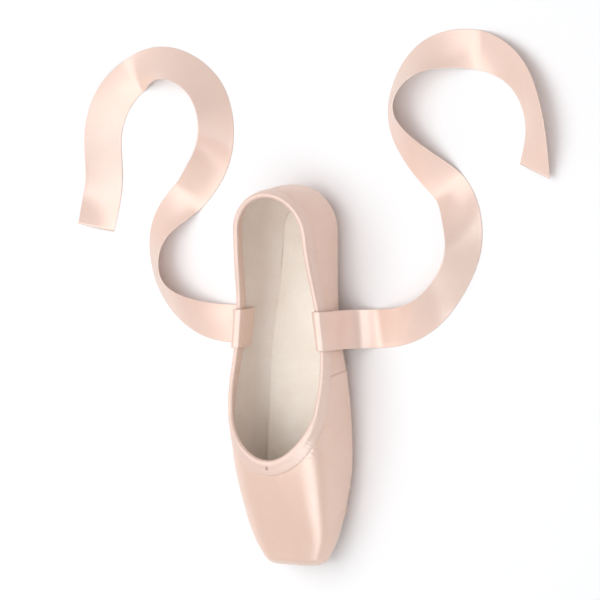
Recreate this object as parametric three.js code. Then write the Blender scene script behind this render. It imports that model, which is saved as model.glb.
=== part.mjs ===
// A pointe shoe, standing empty on its outsole. Millimetres, +Z up, toe towards -Y.
//
// The last is one smooth form: a superellipse whose half width, base, crown and roundness come
// from splines through the LAST table, squared off in front by the platform and closed behind by
// an elliptical heel. Every piece is worked out from it. A point's place along the shoe is "at",
// the distance behind the platform's face.

import * as THREE from "three";

// ---- driving sizes -------------------------------------------------------------------------
const LENGTH = 236;
const BALL_WIDTH = 73;
const PLATFORM_WIDTH = 38;
const PLATFORM_EDGE = 4.5; // rounding of the platform's edge
const HEEL_CENTRE = 207.5; // where the heel starts to close
const GAP = 0.3; // between pieces that touch
const SOLE_TOE = 24;
const SOLE_HEEL = 212;
const SOLE_PROUD = 1.2; // how far the outsole stands below the satin
const INSOLE_TOE = 34;
const INSOLE_HEEL = 11; // how far short of the heel's wall the insole ends
const INSOLE_THICK = 2.2;
const INSOLE_CUP = 0.22; // rise of its edges, as a share of the wall under it
const BINDING_DEPTH = 8.2;
const BINDING_LEG = 0.7;
const BINDING_CLEAR = 0.5; // between the binding and the satin under it
const RIBBON_WIDTH = 24;
const RIBBON_THICK = 0.8;

// half: half width. base, crown: bottom and top of the section. girth: where it is widest.
// under, over: roundness exponents below and above the girth. wall: thickness of the upper.
const LAST = [
  { at: 0, half: PLATFORM_WIDTH / 2, base: 6.0, girth: 15.0, crown: 26, under: 2.4, over: 2.4, wall: 3.6 },
  { at: 15, half: 27.1, base: 4.2, girth: 15.5, crown: 33, under: 2.8, over: 2.4, wall: 3.3 },
  { at: 35, half: 32.2, base: 2.3, girth: 16.5, crown: 42, under: 3.3, over: 2.4, wall: 2.7 },
  { at: 60, half: 36.1, base: 1.0, girth: 18.0, crown: 51.5, under: 3.8, over: 2.4, wall: 2.1 },
  { at: 82, half: BALL_WIDTH / 2, base: 0.7, girth: 19.0, crown: 58, under: 3.8, over: 2.4, wall: 1.7 },
  { at: 112, half: 34.8, base: 2.3, girth: 20.5, crown: 67, under: 3.6, over: 2.4, wall: 1.5 },
  { at: 145, half: 31.0, base: 5.2, girth: 21.5, crown: 76, under: 3.0, over: 2.3, wall: 1.5 },
  { at: 175, half: 28.4, base: 2.7, girth: 20.5, crown: 80, under: 2.8, over: 2.3, wall: 1.6 },
  { at: 200, half: 27.8, base: 0.8, girth: 20.0, crown: 78, under: 2.6, over: 2.3, wall: 1.8 },
  { at: 236, half: 27.8, base: 1.3, girth: 20.0, crown: 74, under: 2.4, over: 2.3, wall: 1.8 },
];

// The spine is a level line inside the shoe. Rays fan out from its front end over the toe, run
// square to it along the sides, and fan out again round the heel.
const SPINE = { front: 95, back: 205, height: 20, frontReach: 60, backReach: 28 };
const SPINE_RUN = {
  side: (Math.PI / 2) * SPINE.frontReach,
  heel: (Math.PI / 2) * SPINE.frontReach + SPINE.back - SPINE.front,
  end: (Math.PI / 2) * (SPINE.frontReach + SPINE.backReach) + SPINE.back - SPINE.front,
};

// The collar, as the angle above level at which the spine sees it. run: distance round the spine
// from the middle of the toe to the middle of the heel.
const COLLAR = [
  { run: -35, rise: 49.6 },
  { run: 0, rise: 48.7 },
  { run: 35, rise: 49.6 },
  { run: 69, rise: 46.5 },
  { run: 94, rise: 40 },
  { run: 113, rise: 33.5 },
  { run: 137, rise: 30 },
  { run: 159, rise: 34.5 },
  { run: 188, rise: 46 },
  { run: 205, rise: 50 },
  { run: 226, rise: 52 },
  { run: SPINE_RUN.end, rise: 52.6 },
  { run: 2 * SPINE_RUN.end - 226, rise: 52 },
];

// Half width of the outsole. Its two ends are rounded off by half ellipses.
const SOLE = [
  { at: 24, half: 26.4 },
  { at: 55, half: 26.6 },
  { at: 66, half: 26.2 },
  { at: 90, half: 23.5 },
  { at: 115, half: 20.0 },
  { at: 140, half: 15.9 },
  { at: 152, half: 15.4 },
  { at: 171, half: 16.3 },
  { at: 185, half: 16.9 },
  { at: 212, half: 17.0 },
];
const SOLE_ROUND = { toe: 54, heel: 188 };

const LOOP_STATIONS = 40; // columns of the upper on each side
const PROFILE_ROWS = 16; // rows of the upper from the sole to the collar
const RIBBON_STEPS = 76;
const RIBBON_SEWN = 42; // the stretch from the sewn end over the collar, which has steps of its own
const RIBBON_SEWN_STEPS = 28;

// ---- splines and shared curves -------------------------------------------------------------

// A natural cubic spline through one column of a table.
function spline(rows, along, key) {
  const x = rows.map((row) => row[along]);
  const y = rows.map((row) => row[key]);
  const last = x.length - 1;
  const bend = new Array(last + 1).fill(0);
  const share = new Array(last + 1).fill(0);
  for (let i = 1; i < last; i++) {
    const before = x[i] - x[i - 1];
    const after = x[i + 1] - x[i];
    const turn = 6 * ((y[i + 1] - y[i]) / after - (y[i] - y[i - 1]) / before);
    const pivot = 2 * (before + after) - before * share[i - 1];
    share[i] = after / pivot;
    bend[i] = (turn - before * bend[i - 1]) / pivot;
  }
  for (let i = last - 1; i > 0; i--) bend[i] -= share[i] * bend[i + 1];
  return (value) => {
    const v = Math.min(Math.max(value, x[0]), x[last]);
    let i = 0;
    while (i < last - 1 && v > x[i + 1]) i++;
    const span = x[i + 1] - x[i];
    const a = (x[i + 1] - v) / span;
    const b = 1 - a;
    const curve = (a ** 3 - a) * bend[i] + (b ** 3 - b) * bend[i + 1];
    return a * y[i] + b * y[i + 1] + (curve * span * span) / 6;
  };
}

// Parameters that share out a curve by its length and its turning, so that tight edges get more.
function shareOut(curve, from, to, places) {
  const FINE = 200;
  const TURN_WORTH = 9; // millimetres of length that a turn of one radian counts for
  const points = [];
  for (let i = 0; i <= FINE; i++) points.push(curve(from + ((to - from) * i) / FINE));
  const total = [0];
  for (let i = 1; i <= FINE; i++) {
    const step = points[i].clone().sub(points[i - 1]);
    const next = i < FINE ? points[i + 1].clone().sub(points[i]) : step;
    total.push(total[i - 1] + step.length() + TURN_WORTH * step.angleTo(next));
  }
  return places.map((place) => {
    const wanted = place * total[FINE];
    let i = 1;
    while (i < FINE && total[i] < wanted) i++;
    const part = (wanted - total[i - 1]) / (total[i] - total[i - 1]);
    return from + ((to - from) * (i - 1 + part)) / FINE;
  });
}

// ---- the last ------------------------------------------------------------------------------

const form = {};
for (const key of ["half", "base", "girth", "crown", "under", "over", "wall"]) {
  form[key] = spline(LAST, "at", key);
}

// Negative inside the last, zero on its surface. Points are (x, at, z).
function lastField(p) {
  const half = form.half(p.y);
  const girth = form.girth(p.y);
  const above = p.z > girth;
  const height = above ? form.crown(p.y) - girth : girth - form.base(p.y);
  const power = above ? form.over(p.y) : form.under(p.y);
  const back = (Math.max(0, p.y - HEEL_CENTRE) * half) / (LENGTH - HEEL_CENTRE);
  const out = Math.hypot(p.x, back);
  const norm = ((out / half) ** power + (Math.abs(p.z - girth) / height) ** power) ** (1 / power);
  const body = Math.hypot(out, p.z - girth) * (1 - 1 / Math.max(norm, 1e-6));
  const a = body + PLATFORM_EDGE;
  const b = -p.y + PLATFORM_EDGE;
  return Math.hypot(Math.max(a, 0), Math.max(b, 0)) + Math.min(Math.max(a, b), 0) - PLATFORM_EDGE;
}

function lastNormal(p) {
  const STEP = 0.05;
  const slope = (x, y, z) =>
    lastField(new THREE.Vector3(p.x + x, p.y + y, p.z + z)) -
    lastField(new THREE.Vector3(p.x - x, p.y - y, p.z - z));
  return new THREE.Vector3(slope(STEP, 0, 0), slope(0, STEP, 0), slope(0, 0, STEP)).normalize();
}

// How far along a ray a test stops being true.
function reach(limit, holds) {
  let near = 0;
  let far = limit;
  for (let i = 0; i < 44; i++) {
    const middle = (near + far) / 2;
    if (holds(middle)) near = middle;
    else far = middle;
  }
  return (near + far) / 2;
}

function castToLast(origin, direction) {
  const pointAt = (r) => origin.clone().addScaledVector(direction, r);
  return pointAt(reach(160, (r) => lastField(pointAt(r)) < 0));
}

// The underside of the last below a point in plan.
function undersideAt(x, at) {
  return castToLast(new THREE.Vector3(x, at, form.girth(at)), new THREE.Vector3(0, 0, -1));
}

// The same point moved inwards through the upper's wall.
function throughWall(p, depth = form.wall(p.y)) {
  return p.clone().addScaledVector(lastNormal(p), -depth);
}

// ---- spine rays ----------------------------------------------------------------------------

// Where a ray starts, and which way it points in plan, at a run round the spine.
function spineRay(run) {
  const angle =
    run < SPINE_RUN.side
      ? run / SPINE.frontReach
      : run < SPINE_RUN.heel
        ? Math.PI / 2
        : Math.PI / 2 + (run - SPINE_RUN.heel) / SPINE.backReach;
  const at = SPINE.front + Math.min(Math.max(run, SPINE_RUN.side), SPINE_RUN.heel) - SPINE_RUN.side;
  return {
    origin: new THREE.Vector3(0, at, SPINE.height),
    plan: new THREE.Vector3(Math.sin(angle), -Math.cos(angle), 0),
  };
}

function pointOnLast({ origin, plan }, rise) {
  const direction = plan.clone().multiplyScalar(Math.cos(rise));
  direction.z = Math.sin(rise);
  return castToLast(origin, direction);
}

// ---- sole outline --------------------------------------------------------------------------

const soleWidth = spline(SOLE, "at", "half");

function soleHalf(at) {
  const toe = Math.max(0, (SOLE_ROUND.toe - at) / (SOLE_ROUND.toe - SOLE_TOE));
  const heel = Math.max(0, (at - SOLE_ROUND.heel) / (SOLE_HEEL - SOLE_ROUND.heel));
  return soleWidth(at) * Math.sqrt(Math.max(0, 1 - toe * toe - heel * heel));
}

// Where a spine ray crosses the edge of the opening under the shoe.
function openingEdge({ origin, plan }) {
  const pointAt = (r) => origin.clone().addScaledVector(plan, r);
  const edge = pointAt(reach(120, (r) => Math.abs(pointAt(r).x) <= soleHalf(pointAt(r).y)));
  return undersideAt(edge.x, edge.y);
}

// ---- solids --------------------------------------------------------------------------------

// One closed solid from a row of rings. Each ring is a closed outline whose first half of points
// faces its second half, so that an end is closed by quads across it. Facing quads are split along
// the same way, so that a thin twisted wall keeps its thickness.
function solidFromRings(rings, isLoop) {
  const count = rings[0].length;
  const position = rings.flat().flatMap((p) => [p.x, p.y - LENGTH / 2, p.z]);
  let index = [];
  const quad = (a, b, c, d) => index.push(a, b, c, a, c, d);
  const links = isLoop ? rings.length : rings.length - 1;
  for (let i = 0; i < links; i++) {
    const here = i * count;
    const next = ((i + 1) % rings.length) * count;
    for (let j = 0; j < count; j++) {
      const k = (j + 1) % count;
      if (j < count / 2) quad(here + j, here + k, next + k, next + j);
      else quad(here + k, next + k, next + j, here + j);
    }
  }
  if (!isLoop) {
    const end = (rings.length - 1) * count;
    for (let j = 0; j < count / 2 - 1; j++) {
      const facing = count - 1 - j;
      quad(facing, facing - 1, j + 1, j);
      quad(end + j, end + j + 1, end + facing - 1, end + facing);
    }
  }
  const corner = (i) => new THREE.Vector3().fromArray(position, 3 * index[i]);
  let volume = 0;
  for (let i = 0; i < index.length; i += 3) {
    volume += corner(i).dot(corner(i + 1).cross(corner(i + 2)));
  }
  if (volume < 0) index = index.reverse();
  const geometry = new THREE.BufferGeometry();
  geometry.setAttribute("position", new THREE.Float32BufferAttribute(position, 3));
  geometry.setIndex(index);
  geometry.computeVertexNormals();
  return geometry;
}

const mirrored = (ring) => ring.map((p) => new THREE.Vector3(-p.x, p.y, p.z));

// A loop round the shoe, from rings on the +X side that run from toe to heel.
const bothSides = (rings) => [...rings, ...rings.map(mirrored).reverse()];

// ---- stations round the shoe ---------------------------------------------------------------

const collarRise = spline(COLLAR, "run", "rise");
const stationPlaces = Array.from({ length: LOOP_STATIONS }, (_, i) => (i + 0.5) / LOOP_STATIONS);
const stationRuns = shareOut((run) => pointOnLast(spineRay(run), 0), 0, SPINE_RUN.end, stationPlaces);

const stations = stationRuns.map((run) => {
  const ray = spineRay(run);
  const edge = openingEdge(ray);
  const spread = Math.hypot(edge.x, edge.y - ray.origin.y);
  const from = Math.atan2(edge.z - SPINE.height, spread);
  const to = THREE.MathUtils.degToRad(collarRise(run));
  const outer = (rise) => pointOnLast(ray, rise);
  return { edge, outer, from, to };
});

// ---- upper ---------------------------------------------------------------------------------

function upperGeometry() {
  const places = Array.from({ length: PROFILE_ROWS }, (_, i) => i / (PROFILE_ROWS - 1));
  const rings = stations.map(({ outer, from, to }) => {
    const outside = shareOut(outer, from, to, places).map(outer);
    const inside = outside.map((p) => throughWall(p)).reverse();
    return [...outside, ...inside];
  });
  return solidFromRings(bothSides(rings), true);
}

// ---- outsole -------------------------------------------------------------------------------

// A point moved towards the long axis of the opening, to leave a gap to the upper.
function drawnIn(p, ray, distance) {
  return p.clone().addScaledVector(ray.plan, -distance);
}

function soleGeometry() {
  const ACROSS = [-1, -0.72, -0.36, 0, 0.36, 0.72, 1];
  const rings = stations.map(({ edge }, i) => {
    const ray = spineRay(stationRuns[i]);
    const low = drawnIn(edge, ray, GAP);
    const high = drawnIn(throughWall(edge), ray, GAP);
    const bottom = ACROSS.map((share) => {
      const p = undersideAt(low.x * share, low.y);
      p.z = Math.max(0, p.z - SOLE_PROUD);
      return p;
    });
    const top = ACROSS.map((share) => {
      const p = undersideAt(high.x * share, high.y);
      p.z += form.wall(high.y);
      return p;
    });
    return [...bottom, ...top.reverse()];
  });
  return solidFromRings(rings, false);
}

// ---- insole --------------------------------------------------------------------------------

function insoleGeometry() {
  const ROWS = 26;
  const ACROSS = [-1, -0.6, 0, 0.6, 1];
  const end = LENGTH - form.wall(LENGTH) - INSOLE_HEEL;
  const rings = Array.from({ length: ROWS }, (_, i) => {
    const at = INSOLE_TOE + ((end - INSOLE_TOE) * (1 - Math.cos((Math.PI * i) / (ROWS - 1)))) / 2;
    const lift = form.wall(at) + GAP;
    const height = form.base(at) + lift + INSOLE_THICK / 2;
    const side = castToLast(new THREE.Vector3(0, at, height), new THREE.Vector3(1, 0, 0));
    const inner = throughWall(side, form.wall(at) + GAP);
    const round = Math.max(0, (INSOLE_TOE + 22 - at) / 22);
    const half = (inner.x - 3) * Math.sqrt(1 - 0.75 * round * round);
    const bottom = ACROSS.map((share) => {
      const p = undersideAt(half * share, at);
      p.z += lift * (1 + INSOLE_CUP * share * share);
      return p;
    });
    const top = bottom.map((p) => new THREE.Vector3(p.x, p.y, p.z + INSOLE_THICK));
    return [...bottom, ...top.reverse()];
  });
  return solidFromRings(rings, false);
}

// ---- collar binding ------------------------------------------------------------------------

// A folded strip that straddles the collar: one leg outside, one inside, closed over the top.
function bindingGeometry() {
  const rings = stations.map(({ outer, from, to }) => {
    const rim = outer(to);
    const radius = rim.distanceTo(spineOrigin(rim));
    const down = (depth) => outer(Math.max(to - depth / radius, from));
    const normal = lastNormal(rim);
    const wall = form.wall(rim.y);
    const up = rim.clone().sub(down(2)).normalize();
    const offset = (p, out, rise = 0) =>
      p.clone().addScaledVector(lastNormal(p), out).addScaledVector(up, rise);
    const level = (out, rise) => rim.clone().addScaledVector(normal, out).addScaledVector(up, rise);
    const half = down(BINDING_DEPTH / 2);
    const hem = down(BINDING_DEPTH);
    const outFace = BINDING_CLEAR + BINDING_LEG;
    const inFace = -wall - BINDING_CLEAR - BINDING_LEG;
    return [
      offset(hem, outFace),
      offset(half, outFace),
      level(outFace, BINDING_CLEAR + BINDING_LEG),
      level(inFace, BINDING_CLEAR + BINDING_LEG),
      offset(hem, inFace),
      offset(hem, -wall - BINDING_CLEAR),
      level(-wall - BINDING_CLEAR, BINDING_CLEAR),
      level(BINDING_CLEAR, BINDING_CLEAR),
      offset(half, BINDING_CLEAR),
      offset(hem, BINDING_CLEAR),
    ];
  });
  return solidFromRings(bothSides(rings), true);
}

function spineOrigin(p) {
  const at = Math.min(Math.max(p.y, SPINE.front), SPINE.back);
  return new THREE.Vector3(0, at, SPINE.height);
}

// ---- ribbons -------------------------------------------------------------------------------

// Each ribbon starts sewn inside its quarter, goes over the collar, hangs down outside and lies on
// the floor in loose bends. x, y, z: the middle of its width, y from the middle of the shoe.
// across: which way its width runs, in degrees round from +Y. lean: how far it stands on edge.
const RIBBON_RIGHT = [
  { x: 28, y: 29, z: 22, across: 6, lean: 0 },
  { x: 27.6, y: 29, z: 26, across: 6, lean: 1 },
  { x: 26.9, y: 29, z: 30, across: 6, lean: 2 },
  { x: 26.2, y: 29, z: 36, across: 6, lean: 3.5 },
  { x: 26.1, y: 29, z: 38.5, across: 6, lean: 3.5 },
  { x: 26.8, y: 29, z: 40.9, across: 6, lean: 3.5 },
  { x: 29, y: 29, z: 41.8, across: 6, lean: 3.5 },
  { x: 31.3, y: 29, z: 41, across: 6, lean: 3.5 },
  { x: 32.2, y: 29, z: 38.5, across: 6, lean: 3.5 },
  { x: 32.9, y: 29, z: 35, across: 5, lean: 3 },
  { x: 33.5, y: 29, z: 28, across: 4, lean: 1 },
  { x: 34.6, y: 29, z: 16, across: 2, lean: 0 },
  { x: 41, y: 29, z: 5, across: 2, lean: 2 },
  { x: 53, y: 29.5, across: 6, lean: 4 },
  { x: 72, y: 33, across: 22, lean: 22 },
  { x: 97, y: 49, across: 48, lean: 52 },
  { x: 113, y: 80, across: 84, lean: 50 },
  { x: 104, y: 111, across: 124, lean: 12 },
  { x: 78, y: 136, across: 132, lean: -30 },
  { x: 63, y: 166, across: 92, lean: -56 },
  { x: 79, y: 194, across: 34, lean: -40 },
  { x: 111, y: 202, across: -4, lean: -8 },
  { x: 144, y: 190, across: -38, lean: 26 },
  { x: 160, y: 160, across: -78, lean: 36 },
  { x: 158, y: 126, across: -96, lean: 10 },
];
const RIBBON_LEFT = [
  { x: -28, y: 29, z: 22, across: -6, lean: 0 },
  { x: -27.6, y: 29, z: 26, across: -6, lean: 1 },
  { x: -26.9, y: 29, z: 30, across: -6, lean: 2 },
  { x: -26.2, y: 29, z: 36, across: -6, lean: 3.5 },
  { x: -26.1, y: 29, z: 38.5, across: -6, lean: 3.5 },
  { x: -26.8, y: 29, z: 40.9, across: -6, lean: 3.5 },
  { x: -29, y: 29, z: 41.8, across: -6, lean: 3.5 },
  { x: -31.3, y: 29, z: 41, across: -6, lean: 3.5 },
  { x: -32.2, y: 29, z: 38.5, across: -6, lean: 3.5 },
  { x: -32.9, y: 29, z: 35, across: -5, lean: 3 },
  { x: -33.5, y: 29, z: 28, across: -4, lean: 1 },
  { x: -34.6, y: 29, z: 16, across: -2, lean: 0 },
  { x: -41, y: 29, z: 5, across: -2, lean: 2 },
  { x: -53, y: 29, across: 4, lean: 4 },
  { x: -76, y: 32, across: -18, lean: 20 },
  { x: -102, y: 51, across: -58, lean: 52 },
  { x: -106, y: 85, across: -110, lean: 34 },
  { x: -83, y: 113, across: -132, lean: -8 },
  { x: -63, y: 143, across: -108, lean: -48 },
  { x: -70, y: 176, across: -62, lean: -54 },
  { x: -100, y: 192, across: -8, lean: -34 },
  { x: -131, y: 181, across: 38, lean: 6 },
  { x: -146, y: 151, across: 74, lean: 40 },
  { x: -146, y: 117, across: 94, lean: 44 },
  { x: -156, y: 85, across: 58, lean: 12 },
];

function ribbonGeometry(table) {
  const radians = THREE.MathUtils.degToRad;
  let run = 0;
  const rows = table.map((row, i) => {
    const before = table[Math.max(0, i - 1)];
    run += Math.hypot(row.x - before.x, row.y - before.y, (row.z ?? 0) - (before.z ?? 0));
    return { ...row, z: row.z ?? 0, run };
  });
  const floorRun = rows[table.findIndex((row) => row.z === undefined)].run;
  const path = {};
  for (const key of ["x", "y", "z", "across", "lean"]) path[key] = spline(rows, "run", key);
  const middle = (s) =>
    new THREE.Vector3(path.x(s), path.y(s) + LENGTH / 2, s < floorRun ? Math.max(0, path.z(s)) : 0);
  const rings = [];
  const all = RIBBON_SEWN_STEPS + RIBBON_STEPS;
  for (let i = 0; i <= all; i++) {
    const sewn = Math.min(i, RIBBON_SEWN_STEPS) / RIBBON_SEWN_STEPS;
    const loose = Math.max(0, i - RIBBON_SEWN_STEPS) / RIBBON_STEPS;
    const s = RIBBON_SEWN * sewn + (run - RIBBON_SEWN) * loose;
    const p = middle(s);
    const tangent = middle(s + 0.5).sub(middle(s - 0.5)).normalize();
    const turn = radians(path.across(s));
    const lean = radians(path.lean(s));
    const width = new THREE.Vector3(
      -Math.sin(turn) * Math.cos(lean),
      Math.cos(turn) * Math.cos(lean),
      Math.sin(lean),
    );
    width.addScaledVector(tangent, -width.dot(tangent)).normalize();
    const face = tangent.clone().cross(width).multiplyScalar(RIBBON_THICK / 2);
    width.multiplyScalar(RIBBON_WIDTH / 2);
    const ring = [
      p.clone().sub(width).sub(face),
      p.clone().add(width).sub(face),
      p.clone().add(width).add(face),
      p.clone().sub(width).add(face),
    ];
    const lowest = Math.min(...ring.map((corner) => corner.z));
    if (s >= floorRun || lowest < 0) ring.forEach((corner) => (corner.z -= lowest));
    rings.push(ring);
  }
  return solidFromRings(rings, false);
}

// ---- assembly ------------------------------------------------------------------------------

function piece(name, geometry, color, roughness) {
  const mesh = new THREE.Mesh(geometry, new THREE.MeshStandardMaterial({ color, roughness, metalness: 0 }));
  mesh.name = name;
  return mesh;
}

const shoe = new THREE.Group();
shoe.name = "pointe_shoe";
shoe.add(
  piece("upper", upperGeometry(), "#ebc9b9", 0.35),
  piece("outsole", soleGeometry(), "#e7cbbd", 0.8),
  piece("insole", insoleGeometry(), "#e9dccb", 0.85),
  piece("collar_binding", bindingGeometry(), "#ecd0c4", 0.4),
  piece("ribbon_right", ribbonGeometry(RIBBON_RIGHT), "#f0d3c8", 0.35),
  piece("ribbon_left", ribbonGeometry(RIBBON_LEFT), "#f0d3c8", 0.35),
);

export default shoe;
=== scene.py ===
# %% [markdown]
# # A pointe shoe
#
# A pointe shoe is sewn on a straight last: satin outside, cotton inside, and a hard glued box
# round the toes that ends in a flat platform. A thin leather sole closes it underneath, a folded
# strip binds its collar over a drawstring, and two satin ribbons are sewn inside the quarters.
#
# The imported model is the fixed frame. Every piece below is worked out again from the same last,
# with many more rows, so that pleats, seams and folds can be real shape.

# %% Load the frame
import math

import bmesh
import bpy
import numpy as np
from mathutils import Matrix, Vector


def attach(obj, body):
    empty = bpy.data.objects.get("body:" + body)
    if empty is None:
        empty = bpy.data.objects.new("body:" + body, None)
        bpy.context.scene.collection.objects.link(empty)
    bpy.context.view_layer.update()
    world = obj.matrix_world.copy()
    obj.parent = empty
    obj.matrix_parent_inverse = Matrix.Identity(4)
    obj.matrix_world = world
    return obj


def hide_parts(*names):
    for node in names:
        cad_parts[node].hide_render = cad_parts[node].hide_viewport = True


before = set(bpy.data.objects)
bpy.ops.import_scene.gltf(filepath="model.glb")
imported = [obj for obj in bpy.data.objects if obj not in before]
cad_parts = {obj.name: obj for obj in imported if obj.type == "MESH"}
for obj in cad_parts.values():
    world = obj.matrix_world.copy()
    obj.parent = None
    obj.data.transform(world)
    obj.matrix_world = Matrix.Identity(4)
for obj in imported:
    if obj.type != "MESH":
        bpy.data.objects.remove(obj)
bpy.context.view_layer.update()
MM = 0.001

# %% [markdown]
# ## Camera, floor and light
#
# The camera looks down on the shoe from well above its right side, rolled so that the toe points
# to the bottom of the picture. A long lens from far off keeps its outline nearly parallel.
# Satin shows its lights, so a long narrow softbox beside the shoe draws one streak down the vamp,
# a dimmer one next to it softens the streak's upper side, and everything else is broad and soft.

# %% Camera
VIEW_TARGET = Vector((0.0, 0.046, 0.012))
VIEW_FROM = Vector((0.5, 0.06, 0.866)).normalized()
VIEW_DISTANCE = 3.0
VIEW_WIDTH = 0.372
LENGTHWAYS = Vector((0, 1, 0))


def new_object(name, data):
    """Some data as an object in the scene."""
    item = bpy.data.objects.new(name, data)
    bpy.context.scene.collection.objects.link(item)
    return item


def set_up(item, place, back, side):
    """Places a camera or lamp with its back one way and its own X as near another as it goes."""
    side = (side - side.dot(back) * back).normalized()
    turn = Matrix((side, back.cross(side), back)).transposed().to_4x4()
    item.matrix_world = Matrix.Translation(place) @ turn


camera = new_object("camera", bpy.data.cameras.new("camera"))
camera.data.lens = camera.data.sensor_width * VIEW_DISTANCE / VIEW_WIDTH
camera.data.clip_end = 50
eye = VIEW_TARGET + VIEW_DISTANCE * VIEW_FROM
set_up(camera, eye, VIEW_FROM, LENGTHWAYS.cross(VIEW_FROM))
bpy.context.scene.camera = camera
bpy.context.scene.view_settings.view_transform = "Standard"
print("lens", round(camera.data.lens), "mm")


# %% Lights
WHITE, COOL = (1.0, 1.0, 1.0), (0.78, 0.92, 1.0)
BOX_OF_THE_TOE = (0, -0.3, 0.03)


def softbox(name, place, aim, size, power, sheen_only=False):
    """A rectangular light that faces a point. sheen_only: it shows in reflections alone."""
    data = bpy.data.lights.new(name, "AREA")
    data.shape = "RECTANGLE"
    data.size, data.size_y = size
    data.energy = power
    data.color = COOL if sheen_only else WHITE
    lamp = new_object(name, data)
    set_up(lamp, place, (Vector(place) - Vector(aim)).normalized(), LENGTHWAYS)
    lamp.visible_diffuse = not sheen_only


softbox("streak_light", (1.25, -0.8, 0.85), BOX_OF_THE_TOE, (3.1, 0.42), 12, sheen_only=True)
softbox("glow_light", (1.0, -0.7, 1.25), BOX_OF_THE_TOE, (2.6, 0.5), 10, sheen_only=True)
softbox("broad_light", (-0.7, 0.3, 1.8), (0, 0, 0), (2.0, 1.6), 18)
softbox("top_light", (0.4, -0.5, 2.2), (0, 0, 0), (1.8, 1.8), 16)

world = bpy.data.worlds.new("studio")
bpy.context.scene.world = world
world.use_nodes = True
sky = world.node_tree.nodes["Background"].inputs
sky["Color"].default_value = (0.97, 0.98, 1.0, 1)
sky["Strength"].default_value = 0.5
print(len(bpy.data.lights), "lights")

# %% [markdown]
# ## The last
#
# Everything on a shoe is worked out from its last, the form it is made on. Here the last is one
# smooth function: a rounded section at each place along the shoe, cut off in front by the platform
# and closed behind by the heel. The function is negative inside and zero on the surface, so a ray
# finds the surface by halving, and the slope of the function is the way out. Sizes are
# millimetres, and "at" is the distance behind the platform.

# %% Tables of the last
LENGTH = 236.0
PLATFORM_EDGE = 4.5
HEEL_CENTRE = 207.5
SOLE_TOE, SOLE_HEEL = 24.0, 212.0
SOLE_ROUND_TOE, SOLE_ROUND_HEEL = 54.0, 188.0
SPINE_FRONT, SPINE_BACK, SPINE_HEIGHT = 95.0, 205.0, 20.0
FRONT_REACH, BACK_REACH = 60.0, 28.0
RUN_SIDE = math.pi / 2 * FRONT_REACH
RUN_HEEL = RUN_SIDE + SPINE_BACK - SPINE_FRONT
RUN_END = RUN_HEEL + math.pi / 2 * BACK_REACH


def table(names, *rows):
    """A table of numbers as one array for each named column."""
    return dict(zip(names.split(), np.array(rows, float).T, strict=True))


LAST = table(
    "at half base girth crown under over wall",
    (0, 19.0, 6.0, 15.0, 26.0, 2.4, 2.4, 3.6),
    (15, 27.1, 4.2, 15.5, 33.0, 2.8, 2.4, 3.3),
    (35, 32.2, 2.3, 16.5, 42.0, 3.3, 2.4, 2.7),
    (60, 36.1, 1.0, 18.0, 51.5, 3.8, 2.4, 2.1),
    (82, 36.5, 0.7, 19.0, 58.0, 3.8, 2.4, 1.7),
    (112, 34.8, 2.3, 20.5, 67.0, 3.6, 2.4, 1.5),
    (145, 31.0, 5.2, 21.5, 76.0, 3.0, 2.3, 1.5),
    (175, 28.4, 2.7, 20.5, 80.0, 2.8, 2.3, 1.6),
    (200, 27.8, 0.8, 20.0, 78.0, 2.6, 2.3, 1.8),
    (236, 27.8, 1.3, 20.0, 74.0, 2.4, 2.3, 1.8),
)
COLLAR = table(
    "run rise",
    *((-35, 49.6), (0, 48.7), (35, 49.6), (69, 46.5), (94, 40.0), (113, 33.5), (137, 30.0)),
    *((159, 34.5), (188, 46.0), (205, 50.0), (226, 52.0)),
    *((RUN_END, 52.6), (2 * RUN_END - 226, 52.0)),
)
SOLE = table(
    "at half",
    *((24, 26.4), (55, 26.6), (66, 26.2), (90, 23.5), (115, 20.0)),
    *((140, 15.9), (152, 15.4), (171, 16.3), (185, 16.9), (212, 17.0)),
)
print("last:", len(LAST["at"]), "sections,", LENGTH, "mm long")


# %% Splines through the tables
def spline(x, y):
    """A natural cubic spline through points, as a function of an array."""
    span = np.diff(x)
    count = len(x)
    matrix, turn = np.eye(count), np.zeros(count)
    turn[1:-1] = 6 * np.diff(np.diff(y) / span)
    for i in range(1, count - 1):
        matrix[i, i - 1 : i + 2] = span[i - 1], 2 * (span[i - 1] + span[i]), span[i]
    bend = np.linalg.solve(matrix, turn)

    def value(v):
        v = np.clip(v, x[0], x[-1])
        i = np.clip(np.searchsorted(x, v, side="right") - 1, 0, count - 2)
        a = (x[i + 1] - v) / span[i]
        b = 1 - a
        curve = (a**3 - a) * bend[i] + (b**3 - b) * bend[i + 1]
        return a * y[i] + b * y[i + 1] + curve * span[i] ** 2 / 6

    return value


form = {name: spline(LAST["at"], column) for name, column in LAST.items() if name != "at"}
collar_rise = spline(COLLAR["run"], COLLAR["rise"])
sole_width = spline(SOLE["at"], SOLE["half"])
print("the ball is", round(2 * float(form["half"](82.0)), 1), "mm wide")


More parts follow.
